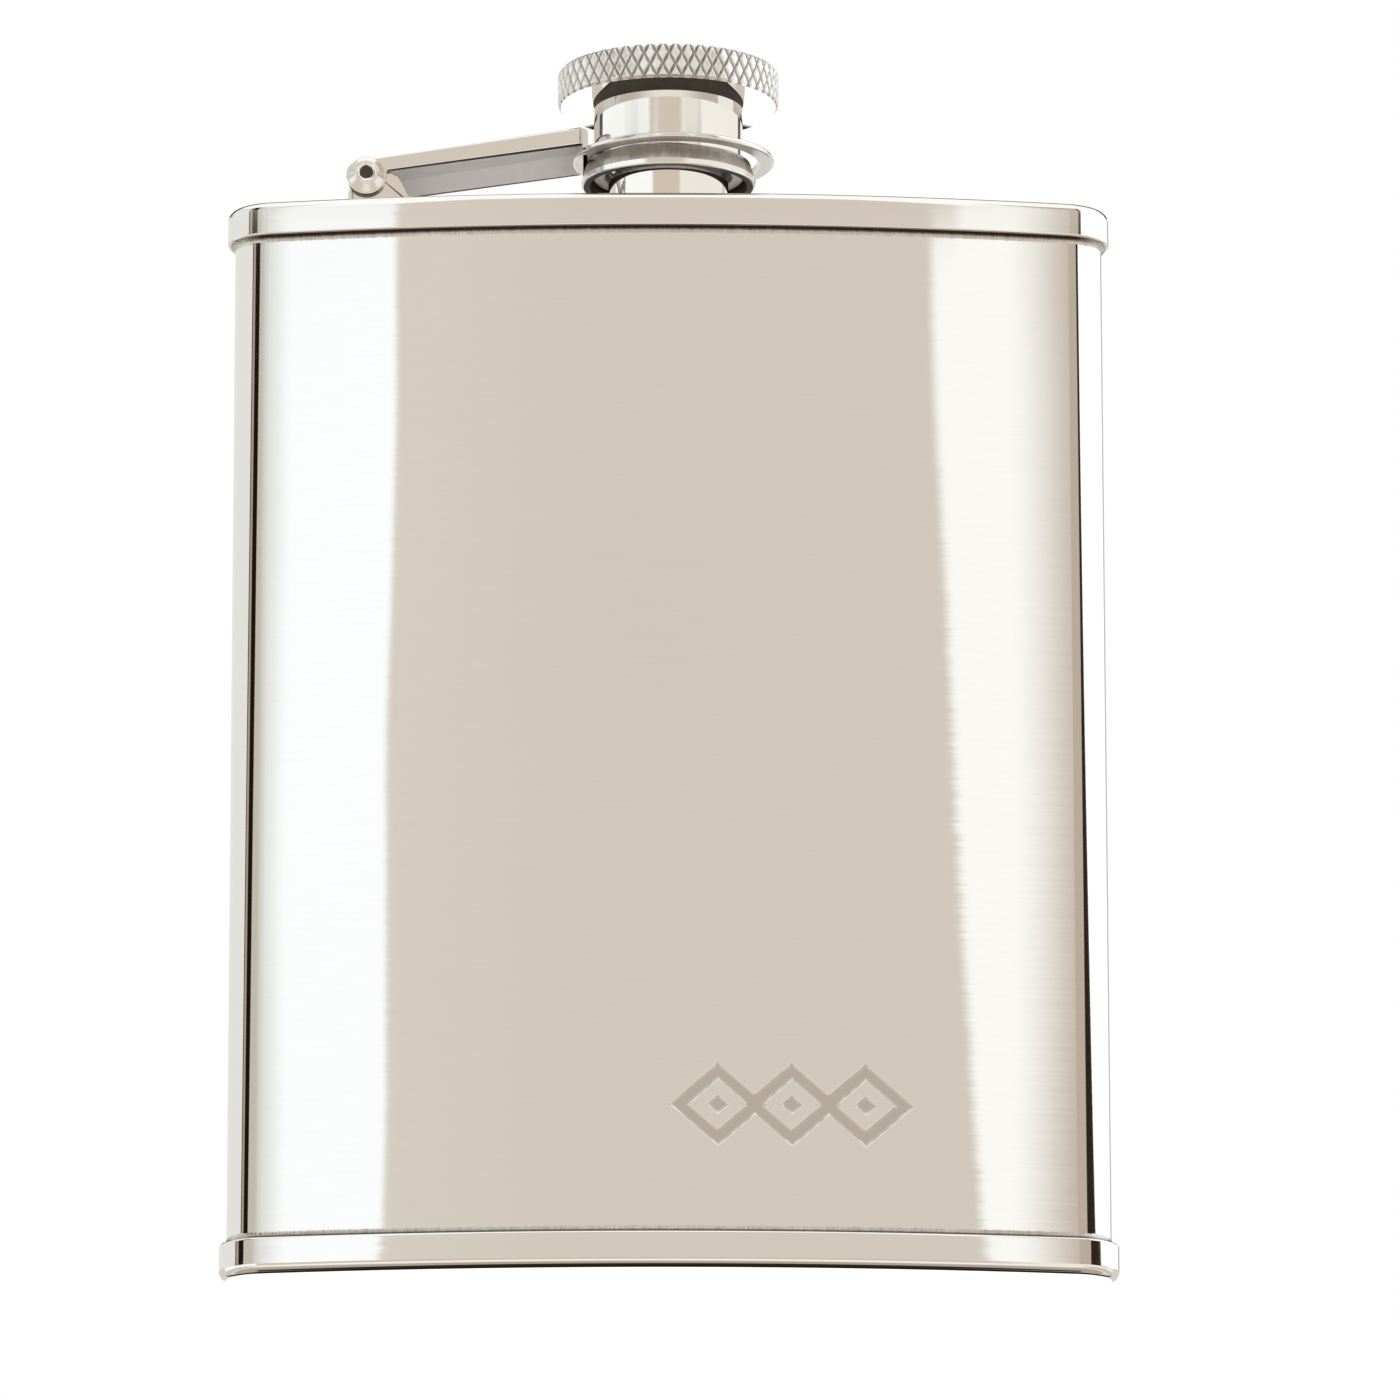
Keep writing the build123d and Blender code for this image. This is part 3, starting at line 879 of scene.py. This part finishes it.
def arm_piece():
    """A pressed channel: two side walls, the web between them, and the ring round the cap."""
    shape = Shape()
    front = CY - ARM_HALF
    # The walls' ends have a broader edge, which catches the light.
    bevels = [0.09] * 52 + [0.24] * 14 + [0.09] * 7
    extrude(shape, side_wall(0.0), front, front + ARM_SHEET, bevels, mats=(0, 0, 1))
    back = Shape()
    extrude(back, side_wall(0.75), 0.0, ARM_SHEET, bevels, mats=(0, 0, 1))
    mirror_across_y(shape, back)

    # The lower edges are painted dark, a painted shadow. A low boss is pressed up round each end of
    # the pin.
    for i, face in enumerate(shape.faces):
        if shape.normals[face[0]][2] + shape.normals[face[2]][2] < -1.0:
            shape.mats[i] = 3
    for side in (-1, 1):
        inner = across_y([(0.9, ARM_HALF + 0.06, 0.3, 0.95)], side)
        outer = across_y([(1.5, ARM_HALF + 0.004, 0.3, 0.95)], side, cz=PIN_Z - 0.2)
        shape.grid(inner + outer)

    # Web, turned down to the ring at its end.
    web = rounded([
        (ARM_START, arm_top(ARM_START) - ARM_SHEET, 0.05),
        (ARM_END, arm_top(ARM_END) - ARM_SHEET, 0.2),
        (ARM_END, ARM_LOW, 0.05),
        (ARM_END + ARM_SHEET, ARM_LOW, 0.05),
        (ARM_END + ARM_SHEET, arm_top(ARM_END) + 0.02, 0.42),
        (ARM_START, arm_top(ARM_START), 0.15),
    ])
    half = ARM_HALF - ARM_SHEET + 0.03
    rows = [[(u, CY + w, v, nu, 0.0, nv) for u, v, nu, nv in web] for w in (-half, half)]
    start = len(shape.faces)
    shape.grid(rows)
    for i in range(start, len(shape.faces)):
        normal = sum((Vector(shape.normals[c]) for c in shape.faces[i]), Vector())
        if normal.z < -0.5:
            shape.mats[i] = 1
    shape.cap(rows[0], (0.0, -1.0, 0.0))
    shape.cap(rows[1], (0.0, 1.0, 0.0))

    ring = circle(CX + RING_SHIFT, CY, 192)
    edge = 0.16
    outside, inside = RING_R - edge, RING_HOLE + edge
    bottom, top = ARM_LOW + edge, ARM_LOW + ARM_SHEET - edge
    profile = arc(outside, bottom, edge, -90, 0, 5) + arc(outside, top, edge, 0, 90, 5)
    profile += arc(inside, top, edge, 90, 180, 5) + arc(inside, bottom, edge, 180, 270, 5)
    shape.grid(sweep(ring, profile))
    # The ring's underside gets painted shade.
    shape.grid(sweep(ring, line(inside, ARM_LOW, outside, ARM_LOW)), mat=2)
    mats = [polished_arm, inner_steel, ring_under_painted_shade, painted_shade_dark]
    shape.make("arm", "arm", "polished_steel", mats, "captive_arm")


# ---- cap -----------------------------------------------------------------------------------
KNURLS = 54  # grooves round the head, each way
KNURL_DEPTH = 0.2
DIAMOND = 1.9  # rise of a groove over one pitch


def knurl(turns, z):
    """Depth of the crossed grooves round the head: 0 on a diamond's peak, 1 in a groove."""
    deepest = 0.0
    for way in (1, -1):
        phase = KNURLS * turns + way * z / DIAMOND
        off = abs(phase - round(phase)) * 2.0
        deepest = max(deepest, 1.0 - off / 0.42)
    return min(1.0, max(0.0, deepest))


def head_piece():
    """The head: a disc with crossed knurling cut into its side, turned on top and below."""
    shape = Shape()
    outer = head_hi.x - CX
    low, high, ease = head_lo.z, head_hi.z, 0.22

    def radius(turns, z):
        r = outer - KNURL_DEPTH * knurl(turns, z)
        return min(r, outer - ease + (z - low), outer - ease + (high - z))

    count, step = KNURLS * 14, 0.02
    twist = step / (2 * math.pi * outer)
    zs = [low, low + 0.07, low + 0.14] + spread(low + 0.2, high - 0.2, 24)
    zs += [high - 0.14, high - 0.07, high]
    turn = 2 * math.pi / count
    around = [(math.cos(turn * j), math.sin(turn * j)) for j in range(count)]
    rows, depths = [], []
    for z in zs:
        row, sunk = [], []
        for j, (c, s) in enumerate(around):
            turns = j / count
            r = radius(turns, z)
            across = (radius(turns + twist, z) - radius(turns - twist, z)) / (2 * step)
            above, below = radius(turns, min(high, z + step)), radius(turns, max(low, z - step))
            along = (above - below) / (2 * step)
            n = Vector((c + s * across, s - c * across, -along)).normalized()
            row.append((CX + r * c, CY + r * s, z, *n))
            # The knurl's depth also marks where painted shade goes in its grooves.
            sunk.append(max(0.001, knurl(turns, z)))
        rows.append(row)
        depths.append(sunk)
    shape.grid(rows, depths=depths)

    # The underside is faintly dished, so near the barrel it mirrors the painted shade at the
    # barrel's root.
    dish = -0.13
    for row, up, out, radii, mat in (
        (rows[-1], 1.0, 0.0, (8.6, 6.0, 3.0, 0.3), 1), (rows[0], -1.0, dish, (8.1, 7.4, 6.1), 2),
    ):
        rings = [row] + [[(CX + r * c, CY + r * s, row[0][2]) for c, s in around] for r in radii]
        shape.grid([
            [(*p[:3], out * c, out * s, up) for p, (c, s) in zip(ring, around)] for ring in rings
        ], mat=mat)
        if up > 0:
            shape.cap(rings[-1], (0.0, 0.0, 1.0), mat)
    mats = [knurl_steel, turned_steel, under_steel]
    shape.make("head", "cap", "knurled_steel", mats, "cap_head")


def barrel_piece():
    """The barrel, with painted shade at its root below the head, and its threaded cavity."""
    shape = Shape()
    ring = circle(CX, CY, 192)
    low, high = barrel_lo.z, head_lo.z
    root, sunk, lip = high - 0.26, BARREL_R - 0.06, 0.1
    shape.grid(sweep(ring, line(BARREL_R, low, BARREL_R, root, 12)))
    # Painted shade: the root below the head is dark steel.
    dark = line(BARREL_R, root, sunk, root) + line(sunk, root, sunk, high)
    shape.grid(sweep(ring, dark), mat=2)
    for run in (
        line(CAVITY_R + lip, low, BARREL_R, low),
        line(CAVITY_R, CAVITY_TOP, CAVITY_R, low + lip, 3),
        arc(CAVITY_R + lip, low + lip, lip, 180, 270, 4),
        line(0.3, CAVITY_TOP, CAVITY_R, CAVITY_TOP),
    ):
        shape.grid(sweep(ring, run), mat=1)
    thread(shape, CAVITY_R, 4.74, 95.85, 1.0, -1, 1)
    mats = [polished_barrel, inner_steel, painted_shade_dark]
    shape.make("barrel", "cap", "polished_steel", mats, "cap_barrel")


def collar_piece():
    """The retaining collar: a satin cone, its colour partly painted shade, over a bright band, with
    painted shade inside and below.
    """
    shape = Shape()
    ring = circle(CX, CY, 192)
    low, high, end = collar_lo.z, collar_hi.z, barrel_lo.z
    band_top = low + 0.55
    shape.grid(sweep(ring, line(6.85, high, BARREL_R, high)))
    cone = line(7.22, band_top, 6.87, high - 0.06, 4) + arc(6.81, high - 0.06, 0.06, 16, 90, 3)
    shape.grid(sweep(ring, cone))
    lip = arc(7.08, low + 0.15, 0.15, -90, -20, 4)
    lip += line(7.23, low + 0.16, 7.3, band_top - 0.08, 2) + [(7.22, band_top, 0.7, 0.7)]
    shape.grid(sweep(ring, lip), mat=1)
    inside = [(6.55, end, -1, 0), (6.55, low + 0.05, -1, 0), (6.6, low, -0.7, -0.7)]
    # Painted shade inside the collar and under it.
    for run in (line(6.6, low, 7.08, low), inside, line(BARREL_R, end, 6.55, end)):
        shape.grid(sweep(ring, run), mat=2)
    mats = [satin_and_painted_shade_cone, polished_band, painted_shade_dark]
    shape.make("collar", "cap", "satin_steel", mats, "retaining_collar")


def seal_piece():
    """The seal disc inside the cap, with a raised ring that meets the neck's mouth."""
    shape = Shape()
    ring = circle(CX, CY, 96)
    low, high, r = seal_lo.z, seal_hi.z, 5.2
    shape.grid(sweep(ring, line(r, low + 0.1, r, high)))
    shape.grid(sweep(ring, [(0.2, high, 0, 1), (r, high, 0, 1)]))
    face = low + 0.08
    shape.grid(sweep(ring, [
        (0.2, face, 0, -1), (3.7, face, 0, -1), (3.8, face, 0.6, -0.8), (3.95, low, 0, -1),
        (4.6, low, 0, -1), (4.75, face, -0.6, -0.8), (r - 0.1, face, 0, -1),
        (r, low + 0.18, 0.8, -0.6),
    ]))
    shape.make("seal", "cap_carrier", "seal_rubber", [seal_silicone], "cap_seal")


# ---- build ---------------------------------------------------------------------------------
STEEL = (0.86, 0.845, 0.82)
# The front's stamp gets a painted shade colour in its hollows.
polished_front = steel(
    "polished_front", STEEL, 0.03, wave=(0.008, 0.008, 0.0), streak=(0.007, 0.002, 0.0),
    streak_scale=(60, 60, 3600), grain=0.035, comb=True, groove=(0.62, 0.585, 0.54),
)
polished_plain = steel(
    "polished_plain", STEEL, 0.04, wave=(0.006, 0.006, 0.0), streak=(0.008, 0.002, 0.0),
)
polished_neck = steel(
    "polished_neck", STEEL, 0.04, wave=(0.01, 0.01, 0.0), streak=(0.01, 0.01, 0.0),
)
polished_barrel = steel(
    "polished_barrel", STEEL, 0.06, wave=(0.02, 0.02, 0.0), wave_scale=(120, 120, 380),
    streak=(0.02, 0.02, 0.0), streak_scale=(400, 400, 2500),
)
polished_arm = steel(
    "polished_arm", STEEL, 0.12, wave=(0.05, 0.03, 0.03), wave_scale=(250, 250, 250),
)
polished_band = steel(
    "polished_band", STEEL, 0.15, wave=(0.05, 0.05, 0.02), wave_scale=(300, 300, 300),
)
# Satin finish, its colour darkened as painted shade under the arm's ring.
satin_and_painted_shade_cone = steel(
    "satin_and_painted_shade_cone", (0.52, 0.495, 0.465), 0.28, streak=(0.6, 0.6, 0.0),
    streak_scale=(1500, 1500, 160), grain=0.7, grain_scale=(3000, 3000, 160),
)
# Its groove colour is painted shade in the knurl's grooves.
knurl_steel = steel(
    "knurl_steel", (0.95, 0.94, 0.92), 0.30, wave=(0.3, 0.3, 0.3), wave_scale=(1000, 1000, 600),
    grain=0.4, grain_scale=(2600, 2600, 2600), groove=(0.26, 0.24, 0.22),
)
turned_steel = steel(
    "turned_steel", (0.78, 0.77, 0.75), 0.28, grain=0.06, grain_scale=(500, 500, 500),
)
under_steel = steel("under_steel", (0.84, 0.82, 0.80), 0.02)
# A darker copy of the steel for the arm ring's underside: painted shade.
ring_under_painted_shade = steel(
    "ring_under_painted_shade", (0.60, 0.565, 0.53), 0.30, grain=0.25, grain_scale=(900, 900, 900),
)
rivet_steel = steel(
    "rivet_steel", (0.88, 0.87, 0.85), 0.2, wave=(0.9, 0.9, 0.9), wave_scale=(1600, 1600, 1600),
    grain=0.3,
)
# Its groove colour is painted shade along the front of the beads.
weld_steel = steel(
    "weld_steel", (0.72, 0.69, 0.65), 0.24, wave=(0.3, 0.3, 0.3), wave_scale=(1800, 1800, 1800),
    grain=0.5, grain_scale=(1500, 1500, 1500), groove=(0.07, 0.05, 0.04),
)
inner_steel = steel(
    "inner_steel", (0.95, 0.925, 0.93), 0.45, metal=0.2, grain=0.2, grain_scale=(900, 900, 900),
)
# Painted shade: dark steel in the rivet's mouth, at the barrel's root, inside and under the collar,
# and on the arm's lower edges.
painted_shade_dark = steel(
    "painted_shade_dark", (0.10, 0.085, 0.075), 0.55, grain=0.4, grain_scale=(1200, 1200, 1200),
)
seal_silicone = rubber("seal_silicone", (0.52, 0.50, 0.47))

sleeve_piece()
pan_pieces()
weld_pieces()
neck_piece()
bracket_piece()
pin_piece()
arm_piece()
head_piece()
barrel_piece()
collar_piece()
seal_piece()

side_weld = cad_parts["side_seam_weld"]
side_weld.data.materials.clear()
side_weld.data.materials.append(polished_plain)

bpy.context.scene.view_settings.view_transform = "Standard"
studio_world()
studio_floor()
studio_light()
studio_camera()
